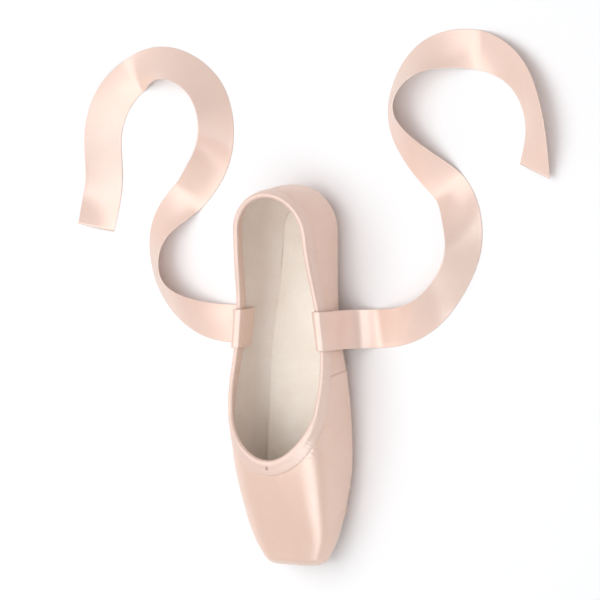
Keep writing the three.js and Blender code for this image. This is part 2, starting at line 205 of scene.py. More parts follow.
# %% The surface of the last
def last_field(p):
    """Negative inside the last, for points (x, at, z) in the last axis of an array."""
    x, at, z = p[..., 0], p[..., 1], p[..., 2]
    half, girth = form["half"](at), form["girth"](at)
    above = z > girth
    height = np.where(above, form["crown"](at) - girth, girth - form["base"](at))
    power = np.where(above, form["over"](at), form["under"](at))
    out = np.hypot(x, np.maximum(0, at - HEEL_CENTRE) * half / (LENGTH - HEEL_CENTRE))
    norm = ((out / half) ** power + (np.abs(z - girth) / height) ** power) ** (1 / power)
    a = np.hypot(out, z - girth) * (1 - 1 / np.maximum(norm, 1e-6)) + PLATFORM_EDGE
    b = PLATFORM_EDGE - at
    corner = np.hypot(np.maximum(a, 0), np.maximum(b, 0))
    return corner + np.minimum(np.maximum(a, b), 0) - PLATFORM_EDGE


def unit(v):
    """Vectors made 1 long."""
    return v / np.linalg.norm(v, axis=-1, keepdims=True)


def last_normal(p):
    """The way out of the last at points on it."""
    slope = [last_field(p + step) - last_field(p - step) for step in 0.05 * np.eye(3)]
    return unit(np.stack(slope, axis=-1))


def halve(holds, far, shape):
    """How far along a test stays true, found by halving."""
    near, far = np.zeros(shape), np.full(shape, float(far))
    for _ in range(36):
        middle = (near + far) / 2
        true = holds(middle)
        near, far = np.where(true, middle, near), np.where(true, far, middle)
    return (near + far) / 2


def cast(origin, direction):
    """Where rays from inside the last meet its surface."""
    origin, direction = np.broadcast_arrays(origin, direction)
    reach = halve(
        lambda r: last_field(origin + r[..., None] * direction) < 0, 160, origin.shape[:-1]
    )
    return origin + reach[..., None] * direction


def underside(x, at):
    """The bottom of the last below places in plan."""
    x, at = np.broadcast_arrays(np.asarray(x, float), np.asarray(at, float))
    return cast(np.stack([x, at, form["girth"](at)], axis=-1), np.array([0.0, 0.0, -1.0]))


tip = cast(np.array([0.0, 95.0, 15.0]), np.array([0.0, -1.0, 0.0]))
print("the platform is at", np.round(tip, 2))


# %% [markdown]
# ## Stations round the shoe
#
# A spine runs inside the shoe. Rays fan out from its front end over the toe, stand square to it
# along the sides, and fan out again round the heel. A station is one such ray's direction, and its
# profile climbs from the edge of the sole to the collar. Stations are closer together round the
# toe box, for its pleats, and where the side and back seams stand.


# %% Soft steps and humps
def smooth(low, high, value):
    """0 below the low value, 1 above the high one, and a soft step between them."""
    t = np.clip((value - low) / (high - low), 0, 1)
    return t * t * (3 - 2 * t)


def hump(away, width):
    """1 at no distance, falling off softly on both sides."""
    return np.exp(-((away / width) ** 2))


def sum_up(steps):
    """Running totals of steps, from 0."""
    return np.cumsum(np.concatenate([0 * steps[..., :1], steps], axis=-1), axis=-1)


def running(points):
    """The length run so far at each point of a line, or of rows of lines."""
    return sum_up(np.linalg.norm(np.diff(points, axis=-2), axis=-1))


print("a hump one width away still counts for", round(float(hump(1, 1)), 2))


# %% Rays from the spine
def spine_rays(run):
    """Where each ray starts, and its direction in plan, at a run from toe centre to heel centre."""
    angle = np.minimum(run, RUN_SIDE) / FRONT_REACH + np.maximum(0, run - RUN_HEEL) / BACK_REACH
    at = SPINE_FRONT + np.clip(run, RUN_SIDE, RUN_HEEL) - RUN_SIDE
    origin = np.stack([0 * at, at, 0 * at + SPINE_HEIGHT], axis=-1)
    return origin, np.stack([np.sin(angle), -np.cos(angle), 0 * angle], axis=-1)


def sole_half(at):
    """Half the sole's width, its two ends rounded off by half ellipses."""
    toe = np.maximum(0, (SOLE_ROUND_TOE - at) / (SOLE_ROUND_TOE - SOLE_TOE))
    heel = np.maximum(0, (at - SOLE_ROUND_HEEL) / (SOLE_HEEL - SOLE_ROUND_HEEL))
    return sole_width(at) * np.sqrt(np.maximum(0, 1 - toe**2 - heel**2))


def share_out(points, weight=1.0):
    """The running length of rows of points, with turning counted as length too."""
    step = np.diff(points, axis=-2)
    length = np.linalg.norm(step, axis=-1)
    way = step / length[..., None]
    turn = np.arccos(np.clip(np.sum(way[..., 1:, :] * way[..., :-1, :], axis=-1), -1, 1))
    turn = np.concatenate([turn, turn[..., -1:]], axis=-1)
    return sum_up((length + 9 * turn) * weight)


print("the sole is", round(2 * float(sole_half(SOLE["at"]).max()), 1), "mm at its widest")

# %% Places of the stations
STATIONS = 252
BOX_RUN, SIDE_SEAM_RUN = 66, 118
fine_run = np.linspace(0, RUN_END, 1200)
outline = cast(*spine_rays(fine_run))
closer = 1 + 1.5 / (1 + np.exp((fine_run[1:] - BOX_RUN) / 4))
closer += 4 * hump(fine_run[1:] - SIDE_SEAM_RUN, 5) + 4 * hump(fine_run[1:] - RUN_END, 4)
worth = share_out(outline, closer)
run = np.interp((np.arange(STATIONS) + 0.5) / STATIONS * worth[-1], worth, fine_run)
origin, plan = spine_rays(run)
print(STATIONS, "stations a side, closest", round(float(np.diff(run).min()), 2), "mm apart")


# %% Profiles
def over_the_sole(reach):
    """Whether points at a reach along each station's ray are still within the sole's outline."""
    point = origin + reach[:, None] * plan
    return np.abs(point[:, 0]) <= sole_half(point[:, 1])


reach = halve(over_the_sole, 120, run.shape)
edge = underside(*(origin + reach[:, None] * plan)[:, :2].T)
low_rise = np.arctan2(edge[:, 2] - SPINE_HEIGHT, np.hypot(edge[:, 0], edge[:, 1] - origin[:, 1]))
high_rise = np.radians(collar_rise(run))


def points_at_rise(rise):
    """Points on the last seen from the spine at angles above level: one row for each station."""
    way = np.cos(rise)[..., None] * plan[:, None, :]
    way[..., 2] += np.sin(rise)
    return cast(origin[:, None, :], way)


def profile(rows):
    """The upper's outside from the sole's edge to the collar, with rows closer on tight curves."""
    share = np.linspace(0, 1, 180)
    rise = low_rise[:, None] + (high_rise - low_rise)[:, None] * share
    worth = share_out(points_at_rise(rise))
    places = np.linspace(0, 1, rows)
    return np.stack([np.interp(places * w[-1], w, r) for w, r in zip(worth, rise, strict=True)])


print("the collar is lowest", round(float(np.degrees(high_rise.min()))), "degrees above the spine")


# %% [markdown]
# ## Meshes from grids
#
# Every large piece here is a grid of points: stations one way, rows the other. One helper turns a
# grid into a mesh, closes it where it joins up with itself, and writes a UV map in metres, so that
# a weave has the same thread count everywhere.


# %% Grid meshes
def place(p):
    """Points (x, at, z) in millimetres as points in the frame, in metres."""
    return (np.asarray(p) - np.array([0, LENGTH / 2, 0])) * MM


def grid_mesh(name, grid, materials, uv, loop=False, slots=None):
    """A mesh from a grid of frame points whose rows are closed rings. loop: its last row joins its
    first. Otherwise it is a strip, and quads across its ends cap it."""
    n, m = grid.shape[:2]
    i, j = np.indices((n if loop else n - 1, m)).reshape(2, -1)
    corners = ((0, 0), (1, 0), (1, 1), (0, 1))
    faces = np.stack([(i + a) % n * m + (j + b) % m for a, b in corners], axis=-1)
    u, v = uv
    u, v = np.hstack([u, u[:, :1]]), np.hstack([v, 2 * v[:, -1:] - v[:, -2:-1]])
    if loop:
        u, v = np.vstack([u, 2 * u[-1:] - u[-2:-1]]), np.vstack([v, v[:1]])
    flat = np.stack([u, v], axis=-1)
    thread_map = np.stack([flat[i + a, j + b] for a, b in corners], axis=1)
    slot = np.asarray(slots or [0] * m)[j]
    if not loop:
        k = np.arange(m // 2 - 1)
        cap = np.stack([k, k + 1, m - 2 - k, m - 1 - k], axis=-1)
        faces = np.vstack([faces, cap[:, ::-1], cap + (n - 1) * m])
        thread_map = np.vstack([thread_map, flat[0, cap[:, ::-1]], flat[-1, cap]])
        slot = np.append(slot, [0] * 2 * len(cap))
    mesh = bpy.data.meshes.new(name)
    mesh.from_pydata(grid.reshape(-1, 3).tolist(), [], faces.tolist())
    mesh.uv_layers.new(name="thread").data.foreach_set("uv", thread_map.astype(np.float32).ravel())
    for material in materials:
        mesh.materials.append(material)
    mesh.polygons.foreach_set("material_index", slot.astype(np.int32))
    mesh.polygons.foreach_set("use_smooth", np.ones(len(faces), bool))
    mesh.update()
    return mesh


def paint(mesh, name, values):
    """Keeps a number for each vertex of a mesh, for a material to read."""
    layer = mesh.attributes.new(name, "FLOAT", "POINT")
    layer.data.foreach_set("value", values.astype(np.float32).ravel())


def face_outwards(mesh):
    """Turns a closed mesh so that its faces point out, and gives its volume."""
    build = bmesh.new()
    build.from_mesh(mesh)
    volume = build.calc_volume(signed=True)
    build.free()
    if volume < 0:
        mesh.flip_normals()
    return abs(volume)


def add_piece(mesh, stands_for):
    """Links a closed mesh, faces out, to ride on the shoe and to stand for nodes."""
    volume = face_outwards(mesh)
    piece = new_object(mesh.name, mesh)
    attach(piece, "root")
    if stands_for:
        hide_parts(*stands_for)
    print(piece.name, len(mesh.polygons), "faces,", round(volume * 1e6, 2), "cubic centimetres")
    return piece


print("the platform in the frame, in metres:", place(tip).round(4))

# %% [markdown]
# ## Finishes
#
# Satin is woven so that long threads lie side by side on its face, and those threads give it a
# bright, slightly stretched light. The material keeps that in three parts: a fine ribbed bump that
# follows the UV map, an anisotropic gloss along the same threads, and a faint mottle, because a
# stretched cloth is never one even tone. Cotton, leather and thread share the same groups with
# other numbers.


# %% Helpers for nodes
def linear(r, g, b):
    """A colour as painted, 0 to 255, as the shader's linear numbers."""
    return *(((v / 255 + 0.055) / 1.055) ** 2.4 if v > 10 else v / 3294 for v in (r, g, b)), 1


def feed(tree, socket, value):
    """Links a socket to another one, or else gives it a number, a vector or a colour."""
    if isinstance(value, bpy.types.NodeSocket):
        tree.links.new(value, socket)
    elif value is not None:
        socket.default_value = value


def add_node(tree, kind, feeds=None, **settings):
    """A node with its settings made, and its inputs fed by name or by number."""
    node = tree.nodes.new(kind)
    for key, value in settings.items():
        setattr(node, key, value)
    for key, value in (feeds or {}).items():
        feed(tree, node.inputs[key], value)
    return node


def new_group(kind, name, inputs, output):
    """An empty node group with named inputs and one output: the group, its inputs, its end node."""
    group = bpy.data.node_groups.new(name, kind)
    for label, sort, value in inputs:
        socket = group.interface.new_socket(label, in_out="INPUT", socket_type="NodeSocket" + sort)
        if value is not None:
            socket.default_value = value
    label, sort = output
    group.interface.new_socket(label, in_out="OUTPUT", socket_type="NodeSocket" + sort)
    return group, group.nodes.new("NodeGroupInput").outputs, group.nodes.new("NodeGroupOutput")


def maths(tree, operation, a, b=None, clamp=False):
    """One sum on sockets or numbers."""
    settings = {"operation": operation, "use_clamp": clamp}
    return add_node(tree, "ShaderNodeMath", {0: a, 1: b}, **settings).outputs[0]


print("a painted middle grey is", round(linear(128, 128, 128)[0], 3), "to the shader")


# %% Weave and mottle
def woven_group():
    """Height of a weave from a UV map in metres: ribs one way, fainter ribs the other."""
    inputs = (
        ("Map", "Vector", None),
        ("Ribs per metre", "Float", 3000),
        ("Crossings per metre", "Float", 2000),
        ("Crossing share", "Float", 0.3),
    )
    group, given, made = new_group("ShaderNodeTree", "woven threads", inputs, ("Height", "Float"))
    split = add_node(group, "ShaderNodeSeparateXYZ", {0: given["Map"]})
    waves = []
    for axis, count in ((0, "Ribs per metre"), (1, "Crossings per metre")):
        turn = maths(group, "MULTIPLY", split.outputs[axis], given[count])
        turn = maths(group, "SINE", maths(group, "MULTIPLY", turn, 2 * math.pi))
        waves.append(maths(group, "MULTIPLY", turn, 0.5))
    across = maths(group, "MULTIPLY", waves[1], given["Crossing share"])
    feed(group, made.inputs["Height"], maths(group, "ADD", waves[0], across))
    return group


def mottle_group():
    """Two sizes of soft noise on Object coordinates, as one value from 0 to 1."""
    inputs = (("Place", "Vector", None), ("Coarse", "Float", 40), ("Fine", "Float", 300))
    group, given, made = new_group("ShaderNodeTree", "soft mottle", inputs, ("Value", "Float"))
    parts = []
    for size, detail, share in (("Coarse", 2.0, 0.65), ("Fine", 3.0, 0.35)):
        feeds = {"Vector": given["Place"], "Scale": given[size], "Detail": detail}
        noise = add_node(group, "ShaderNodeTexNoise", feeds)
        parts.append(maths(group, "MULTIPLY", noise.outputs["Fac"], share))
    feeds = {"Value": maths(group, "ADD", *parts), "From Min": 0.2, "From Max": 0.8}
    wide = add_node(group, "ShaderNodeMapRange", feeds, interpolation_type="SMOOTHSTEP")
    feed(group, made.inputs["Value"], wide.outputs["Result"])
    return group


WOVEN, MOTTLE = woven_group(), mottle_group()
print("shader groups:", WOVEN.name, "and", MOTTLE.name)


# %% A material being built
class Finish:
    """One material being built: its tree, its shader, and the few links that all of them use."""

    def __init__(self, name, roughness, specular, sheen=0.0, anisotropic=0.0, metallic=0.0):
        self.material = bpy.data.materials.new(name)
        self.material.use_nodes = True
        self.tree = self.material.node_tree
        self.shader = self.tree.nodes["Principled BSDF"]
        labels = "Roughness", "Specular IOR Level", "Sheen Weight", "Anisotropic", "Metallic"
        numbers = roughness, specular, sheen, anisotropic, metallic
        for label, number in zip(labels, numbers, strict=True):
            self.set(label, number)
        self.set("Sheen Roughness", 0.45)
        if anisotropic:
            settings = {"direction_type": "UV_MAP", "uv_map": "thread"}
            self.set("Tangent", self.add("ShaderNodeTangent", **settings))
        self.place = self.add("ShaderNodeTexCoord", output="Object")

    def add(self, kind, feeds=None, output=0, **settings):
        return add_node(self.tree, kind, feeds, **settings).outputs[output]

    def set(self, label, value):
        feed(self.tree, self.shader.inputs[label], value)

    def mottle(self, coarse, fine):
        feeds = {"Place": self.place, "Coarse": coarse, "Fine": fine}
        return self.add("ShaderNodeGroup", feeds, node_tree=MOTTLE)

    def weave(self, ribs, crossings, share):
        feeds = {
            "Map": self.add("ShaderNodeUVMap", uv_map="thread"),
            "Ribs per metre": ribs,
            "Crossings per metre": crossings,
            "Crossing share": share,
        }
        return self.add("ShaderNodeGroup", feeds, node_tree=WOVEN)

    def mix(self, factor, a, b, share=1.0):
        """Two colours, sockets or painted numbers, mixed by a factor of which a share counts."""
        if share != 1.0:
            factor = maths(self.tree, "MULTIPLY", factor, share, clamp=True)
        a, b = (linear(*c) if isinstance(c, tuple) else c for c in (a, b))
        return self.add("ShaderNodeMix", {0: factor, 6: a, 7: b}, 2, data_type="RGBA")

    def attribute(self, name):
        return self.add("ShaderNodeAttribute", output="Fac", attribute_name=name)

    def rough(self, value, low, high):
        spread = maths(self.tree, "MULTIPLY", value, high - low)
        self.set("Roughness", maths(self.tree, "ADD", spread, low))

    def bump(self, height, depth, strength=1.0):
        """One more layer of bump, its depth in millimetres, over the layers already there."""
        below = self.shader.inputs["Normal"].links
        feeds = {"Strength": strength, "Distance": depth * MM, "Height": height}
        feeds["Normal"] = below[0].from_socket if below else None
        self.set("Normal", self.add("ShaderNodeBump", feeds))


WEAVE = {"ribs": 2200, "crossings": 1300, "share": 0.35}
print("satin's threads to the metre:", WEAVE)

# %% [markdown]
# Each kind of stuff is one short function, and each material is that function with its own
# colours. Two close tones are mixed by the mottle, and attributes of the mesh say where painted
# shade darkens a cloth in its hollows and where a painted reflection makes it pale, so that the
# colour follows the real folds.


# %% Cloth
def satin(name, face, shade, hollow, rough=(0.28, 0.36), depth=0.005, **weave):
    """Woven satin: its face colour, the tone it drifts to, and the painted shade in its hollows;
    where the mesh asks for it, a pale painted reflection is mixed in too.
    """
    finish = Finish(name, 0.3, specular=1.0, sheen=0.12, anisotropic=0.5, metallic=0.12)
    mottle = finish.mottle(38.0, 260.0)
    tone = finish.mix(mottle, face, shade, 0.55)
    # Painted reflection: paler where an attribute of the mesh marks the underside of the toe and
    # the platform's edge.
    tone = finish.mix(finish.attribute("rubbed"), tone, (226, 214, 203), 0.8)
    # Painted shade: darker where an attribute of the mesh marks the hollows of folds and seams.
    finish.set("Base Color", finish.mix(finish.attribute("hollow"), tone, hollow))
    finish.rough(mottle, *rough)
    finish.bump(finish.weave(**(WEAVE | weave)), depth)
    finish.bump(mottle, 0.04, 0.4)
    return finish.material


def cotton(name, face, shade, threads=1900, depth=0.05):
    """Plain-woven cotton, matt, its two thread directions alike."""
    finish = Finish(name, 0.85, specular=0.25, sheen=0.15)
    mottle, weave = finish.mottle(60.0, 600.0), finish.weave(threads, threads, 1.0)
    tone = finish.mix(mottle, face, shade)
    finish.set("Base Color", finish.mix(weave, tone, (255, 248, 238), 0.12))
    finish.rough(mottle, 0.78, 0.92)
    finish.bump(weave, depth)
    return finish.material


# Each satin's third colour is the painted shade in its hollows; only the upper's mesh says where it
# goes.
UPPER_SATIN = satin("upper satin", (241, 208, 190), (234, 195, 174), (204, 158, 136))
BINDING_SATIN = satin(
    "binding satin", (240, 211, 197), (234, 200, 184), (206, 164, 144), (0.36, 0.46), ribs=2600
)
RIBBON_SATIN = satin(
    "ribbon satin", (244, 215, 200), (240, 206, 190), (220, 180, 162), (0.3, 0.38), depth=0.003
)
LINING_COTTON = cotton("lining cotton", (247, 238, 230), (240, 227, 216))
INSOLE_COTTON = cotton("insole cotton", (248, 241, 231), (240, 230, 217), threads=1500, depth=0.06)
for stuff in (UPPER_SATIN, BINDING_SATIN, RIBBON_SATIN, LINING_COTTON, INSOLE_COTTON):
    print(stuff.name, len(stuff.node_tree.nodes), "nodes")


# %% Leather and thread
def sole_leather():
    """Split sole leather: a fine nap, a browner cut edge, and some warmth near the floor."""
    finish = Finish("sole leather", 0.6, specular=0.35)
    mottle = finish.mottle(70.0, 900.0)
    feeds = {"Vector": finish.place, "Scale": 1800.0, "Detail": 3.0}
    nap = finish.add("ShaderNodeTexNoise", feeds, "Fac")
    tone = finish.mix(mottle, (237, 210, 196), (229, 197, 181))
    tone = finish.mix(nap, tone, (222, 188, 170), 0.25)
    tone = finish.mix(finish.attribute("floor"), tone, (226, 194, 172), 0.3)
    finish.set("Base Color", finish.mix(finish.attribute("edge"), tone, (178, 132, 108), 0.85))
    finish.rough(mottle, 0.58, 0.78)
    finish.bump(mottle, 0.05)
    finish.bump(nap, 0.03)
    return finish.material


def thread(name, face, shade):
    """Sewing thread: two plies, whose twist shows as a fine unevenness."""
    finish = Finish(name, 0.45, specular=0.4, sheen=0.2)
    mottle = finish.mottle(400.0, 2500.0)
    finish.set("Base Color", finish.mix(mottle, face, shade))
    finish.rough(mottle, 0.38, 0.55)
    finish.bump(mottle, 0.05)
    return finish.material


SOLE_LEATHER = sole_leather()
SEWING_THREAD = thread("sewing thread", (244, 216, 202), (226, 190, 172))
STRING_THREAD = thread("drawstring thread", (202, 172, 160), (170, 138, 126))
for stuff in (SOLE_LEATHER, SEWING_THREAD, STRING_THREAD):
    print(stuff.name, len(stuff.node_tree.nodes), "nodes")


# %% Floor
def studio_floor(far=12.0):
    """A wide pale floor, large enough to fill the picture from any side."""
    finish = Finish("studio floor", 0.6, specular=0.2)
    mottle = finish.mottle(3.0, 30.0)
    finish.set("Base Color", finish.mix(mottle, (250, 250, 251), (247, 247, 248)))
    finish.rough(mottle, 0.55, 0.7)
    mesh = bpy.data.meshes.new("studio_floor")
    corners = [(-far, -far, 0), (far, -far, 0), (far, far, 0), (-far, far, 0)]
    mesh.from_pydata(corners, [], [(0, 1, 2, 3)])
    mesh.materials.append(finish.material)
    floor = new_object("studio_floor", mesh)


studio_floor()
print("floor laid")

# %% [markdown]
# ## The ribbons
#
# Two satin ribbons tie the shoe to the ankle. Taken off, they lie beside it. A ribbon bends easily
# across its thin way and hardly at all across its wide way, so on the floor it leans over and
# stands on one edge wherever it turns. A route is a table: the middle of the ribbon, which way its
# width runs in degrees round from +Y, and how far it stands on edge. The climb over the collar is
# the same on both sides, mirrored, and the rows that lie on the floor have height 0.

# %% Ribbon routes
RIBBON_WIDTH = 24.0
ROUTE = "x y z across lean"
OVER_THE_COLLAR = (
    *((28, 29, 22, 6, 0), (27.6, 29, 26, 6, 1), (26.9, 29, 30, 6, 2), (26.2, 29, 36, 6, 3.5)),
    *((26.1, 29, 38.5, 6, 3.5), (26.8, 29, 40.9, 6, 3.5), (29, 29, 41.8, 6, 3.5)),
    *((31.3, 29, 41, 6, 3.5), (32.2, 29, 38.5, 6, 3.5), (32.9, 29, 35, 5, 3)),
    *((33.5, 29, 28, 4, 1), (34.6, 29, 16, 2, 0), (41, 29, 5, 2, 2)),
)
RIBBON_RIGHT = table(
    ROUTE,
    *OVER_THE_COLLAR,
    (53, 29.5, 0, 6, 4),
    (72, 33, 0, 22, 22),
    (97, 49, 0, 48, 52),
    (113, 80, 0, 84, 50),
    (104, 111, 0, 124, 12),
    (78, 136, 0, 132, -30),
    (63, 166, 0, 92, -56),
    (79, 194, 0, 34, -40),
    (111, 202, 0, -4, -8),
    (144, 190, 0, -38, 26),
    (160, 160, 0, -78, 36),
    (158, 126, 0, -96, 10),
)
RIBBON_LEFT = table(
    ROUTE,
    *((-x, y, z, -across, lean) for x, y, z, across, lean in OVER_THE_COLLAR),
    (-53, 29, 0, 4, 4),
    (-76, 32, 0, -18, 20),
    (-102, 51, 0, -58, 52),
    (-106, 85, 0, -110, 34),
    (-83, 113, 0, -132, -8),
    (-63, 143, 0, -108, -48),
    (-70, 176, 0, -62, -54),
    (-100, 192, 0, -8, -34),
    (-131, 181, 0, 38, 6),
    (-146, 151, 0, 74, 40),
    (-146, 117, 0, 94, 44),
    (-156, 85, 0, 58, 12),
)
print("marks along the routes:", len(RIBBON_RIGHT["x"]), "and", len(RIBBON_LEFT["x"]))


# %% A ribbon as a surface
def soft_over(values, reach):
    """A curve eased over its neighbours, but never under the curve it was given."""
    near = np.pad(values, reach, mode="edge")
    weight = np.hanning(2 * reach + 3)[1:-1]
    return np.maximum(values, np.convolve(near, weight / weight.sum(), mode="valid"))


class Ribbon:
    """A ribbon's surface: places along it, across it (-1 to 1) and at a height off its middle."""

    def __init__(self, route):
        self.marks = running(np.stack([route["x"], route["y"], route["z"]], axis=-1))
        self.path = {name: spline(self.marks, column) for name, column in route.items()}
        self.length = self.marks[-1]
        self.floor_from = self.marks[np.argmax(route["z"] == 0)]
        self.fine = np.linspace(0, self.length, 700)
        self.lift = np.zeros_like(self.fine)
        ends = self.at(self.fine[:, None], np.array([[-1.0, 1.0]]), 0.0)[..., 2].min(axis=1)
        lying = (self.fine >= self.floor_from) | (ends < 0)
        self.lift = soft_over(np.where(lying, -ends, 0.0), 13)

    def middle(self, t):
        z = np.where(t < self.floor_from, np.maximum(0, self.path["z"](t)), 0.0)
        return np.stack([self.path["x"](t), self.path["y"](t), z], axis=-1)

    def at(self, t, across, height):
        t, across, height = np.broadcast_arrays(t, across, height)
        ahead, behind = np.minimum(t + 0.5, self.length), np.maximum(t - 0.5, 0)
        tangent = unit(self.middle(ahead) - self.middle(behind))
        turn, lean = np.radians(self.path["across"](t)), np.radians(self.path["lean"](t))
        level = np.cos(lean)
        width = np.stack([-np.sin(turn) * level, np.cos(turn) * level, np.sin(lean)], axis=-1)
        width = unit(width - np.sum(width * tangent, axis=-1, keepdims=True) * tangent)
        off = across[..., None] * RIBBON_WIDTH / 2, height[..., None]
        point = self.middle(t) + width * off[0] + np.cross(tangent, width) * off[1]
        point[..., 2] += np.interp(t, self.fine, self.lift)
        return point


right_ribbon, left_ribbon = Ribbon(RIBBON_RIGHT), Ribbon(RIBBON_LEFT)
print("ribbons", round(float(right_ribbon.length)), "and", round(float(left_ribbon.length)), "mm")

# %% [markdown]
# The cloth itself is about a third of a millimetre thick, with a firmer selvedge down each edge
# and a slanted cut at the free end. It is never quite flat: it cups a little, and waves slowly.


# %% Ribbon meshes
def ribbon_mesh(name, ribbon, seed, steps=300, across=15):
    """The ribbon as a closed strip, and the line of its middle."""
    dice = np.random.default_rng(seed)
    t = np.linspace(0, ribbon.length, steps)[:, None]
    s = np.sin(np.linspace(-1, 1, across) * math.pi / 2)[None, :]
    near_end = smooth(ribbon.length - 30, ribbon.length, t)
    slanted = np.clip(t + 2.2 * (s - 1) * near_end, 0, ribbon.length)
    phase = dice.uniform(0, 6, 3)
    cup = 0.45 * np.sin(t / 37 + phase[0]) * (s**2 - 0.4)
    wave = 0.35 * np.sin(t / 13 + phase[1]) * s + 0.2 * np.sin(t / 7.3 + phase[2]) * s**2
    height = (cup + wave) * smooth(38, 70, t)
    thick = 0.17 + 0.09 * hump(np.abs(s) - 0.975, 0.03) + 0 * t
    top = ribbon.at(slanted, s, height + thick)
    low = ribbon.at(slanted, s, height - thick)
    grid = np.concatenate([top, low[:, ::-1]], axis=1)
    sunk = soft_over(np.maximum(0, -grid[..., 2].min(axis=1)), 6)
    grid[..., 2] += sunk[:, None]
    u = np.concatenate([s, s[:, ::-1]], axis=1) * RIBBON_WIDTH / 2 * MM + 0 * t
    v = np.concatenate([slanted, slanted[:, ::-1]], axis=1) * MM
    return grid_mesh(name, grid * MM, [RIBBON_SATIN], (u, v)), grid.mean(axis=1) * MM


for name, node, ribbon, seed in (
    ("right_ribbon", "ribbon_right", right_ribbon, 3),
    ("left_ribbon", "ribbon_left", left_ribbon, 4),
):
    mesh, centres = ribbon_mesh(name, ribbon, seed)
    piece = add_piece(mesh, [node])

# %% [markdown]
# ## The upper
#
# The satin is lasted wet: pulled down over the last and gathered under it, so it is smooth over
# the vamp and folds into pleats where it turns under the toe. The relief is added as real shape
# along the surface's own way out: pleats fanned round the front of the sole, soft gathers round
# the heel, the side and back seams, puckers below the binding, and a few listed creases.


# %% Both sides of the shoe
def both_sides(half):
    """Rows of a right-hand quantity, then the same mirrored back along the left."""
    mirror = half[::-1].copy()
    if half.shape[-1] == 3 and half.ndim > 1:
        mirror[..., 0] *= -1
    return np.concatenate([half, mirror])


ROWS = 112
outline_length = running(outline)
along = np.interp(run, fine_run, outline_length)
along_loop = np.concatenate([along, 2 * outline_length[-1] - along[::-1]])
run_loop = np.concatenate([run, -run[::-1]])

outside = both_sides(points_at_rise(profile(ROWS)))
outward = last_normal(outside)
wall = form["wall"](outside[..., 1])
from_sole = running(outside)
from_collar = from_sole[:, -1:] - from_sole
print(round(2 * outline_length[-1]), "mm round the shoe,", round(from_sole[0, -1]), "over the vamp")


# %% Pleats, gathers and puckers
def folds(position, start, end, widths, seed):
    """Uneven folds along a line: how far through its fold each place is, and its fold's luck."""
    dice = np.random.default_rng(seed)
    marks = [start]
    while marks[-1] < end:
        marks.append(marks[-1] + dice.uniform(*widths))
    marks = np.array(marks)
    luck = dice.uniform(0, 1, len(marks))
    i = np.clip(np.searchsorted(marks, position) - 1, 0, len(marks) - 2)
    return (position - marks[i]) / (marks[i + 1] - marks[i]), luck[i]


def toe_pleats():
    """Overlapping pleats, millimetres proud: each climbs slowly and drops at its folded edge. Also
    the painted shade along each folded edge, 0 to 1.
    """
    from_toe = np.abs(run_loop)[:, None]
    wander = run_loop[:, None] + 0.9 * np.sin(from_sole / 6 + run_loop[:, None] / 9)
    share, luck = folds(wander, -90, 90, (3.4, 5.4), 7)
    climb = np.where(run_loop[:, None] > 0, share, 1 - share)
    shape = climb - smooth(0.8, 1.0, climb)
    length = (20 + 8 * luck) * (1 - 0.62 * smooth(22, 74, from_toe))
    fade = (1 - smooth(0.35 * length, length, from_sole)) * (1 - smooth(52, 90, from_toe))
    return (0.75 + 0.5 * luck) * shape * fade, fade * smooth(0.78, 0.98, climb)


def heel_gathers():
    """Soft gathers where the satin is drawn in round the end of the sole, and the painted shade
    between them.
    """
    back = RUN_END - np.abs(run_loop)[:, None]
    share, luck = folds(np.sign(run_loop)[:, None] * back, -90, 90, (4.0, 7.0), 11)
    shape = np.sin(math.pi * share) ** 2
    fade = (1 - smooth(2, 9 + 8 * luck, from_sole)) * (1 - smooth(30, 62, back))
    return 0.42 * shape * fade, fade * (1 - shape) * 0.5


def edge_puckers():
    """Small puckers along the sole's sides and just below the binding."""
    place_along = along_loop[:, None] + 0 * from_sole
    side, luck = folds(place_along, 0, 640, (5, 9), 5)
    low = 0.16 * np.sin(math.pi * side) ** 2 * (1 - smooth(1, 7 + 4 * luck, from_sole))
    tight, luck = folds(place_along, 0, 640, (2.6, 4.6), 9)
    reach = 13 + 7 * luck * (1 - smooth(0, 80, np.abs(run_loop)))[:, None]
    band = smooth(7.6, 9.2, from_collar) * (1 - smooth(9.2, reach, from_collar))
    return low + 0.13 * np.sin(math.pi * tight) ** 2 * band


pleat_height, pleat_edge_shade = toe_pleats()
gather_height, gather_painted_shade = heel_gathers()
print("pleats stand", round(float(pleat_height.max()), 2), "mm proud")

# %% [markdown]
# Creases and seams are drawn as lines on the last. Each row of the table gives the two ends of one
# crease as seen from the side, its bow between them, its width and its depth. A positive depth is
# a trough and a negative one a ridge. Seams use the same helper with a narrower line.


# %% Creases and seams
CREASES = table(
    "side at0 z0 at1 z1 bow width depth",
    (1, 126, 34, 150, 12, 3, 4.5, 0.45),
    (1, 133, 36, 158, 20, 2, 3.5, -0.3),
    (1, 152, 38, 178, 16, -3, 5.0, 0.4),
    (1, 186, 12, 222, 20, -3, 4.0, 0.35),
    (1, 96, 30, 117, 18, 2, 5.0, 0.35),
    (1, 84, 36, 104, 24, 1, 4.0, -0.25),
    (-1, 124, 33, 146, 14, 3, 4.5, 0.45),
    (-1, 140, 37, 166, 18, -2, 4.0, 0.35),
    (-1, 190, 14, 224, 24, -4, 4.5, 0.35),
    (-1, 92, 31, 112, 20, 2, 5.0, 0.3),
    (-1, 160, 36, 180, 22, 2, 3.5, -0.25),
)
SIDE_SEAM = {"at0": 121.5, "z0": 2.0, "at1": 116.5, "z1": 44.0, "bow": 1.5}


def line_on_last(side, at0, z0, at1, z1, bow, count=44):
    """Points of a bowed line on one side of the last."""
    share = np.linspace(0, 1, count)
    swing = bow * np.sin(math.pi * share) / math.hypot(at1 - at0, z1 - z0)
    at = at0 + (at1 - at0) * share + (z1 - z0) * swing
    z = z0 + (z1 - z0) * share - (at1 - at0) * swing
    z = np.maximum(z, form["base"](at) + 0.6)
    return cast(np.stack([0 * at, at, z], axis=-1), np.array([float(side), 0.0, 0.0]))


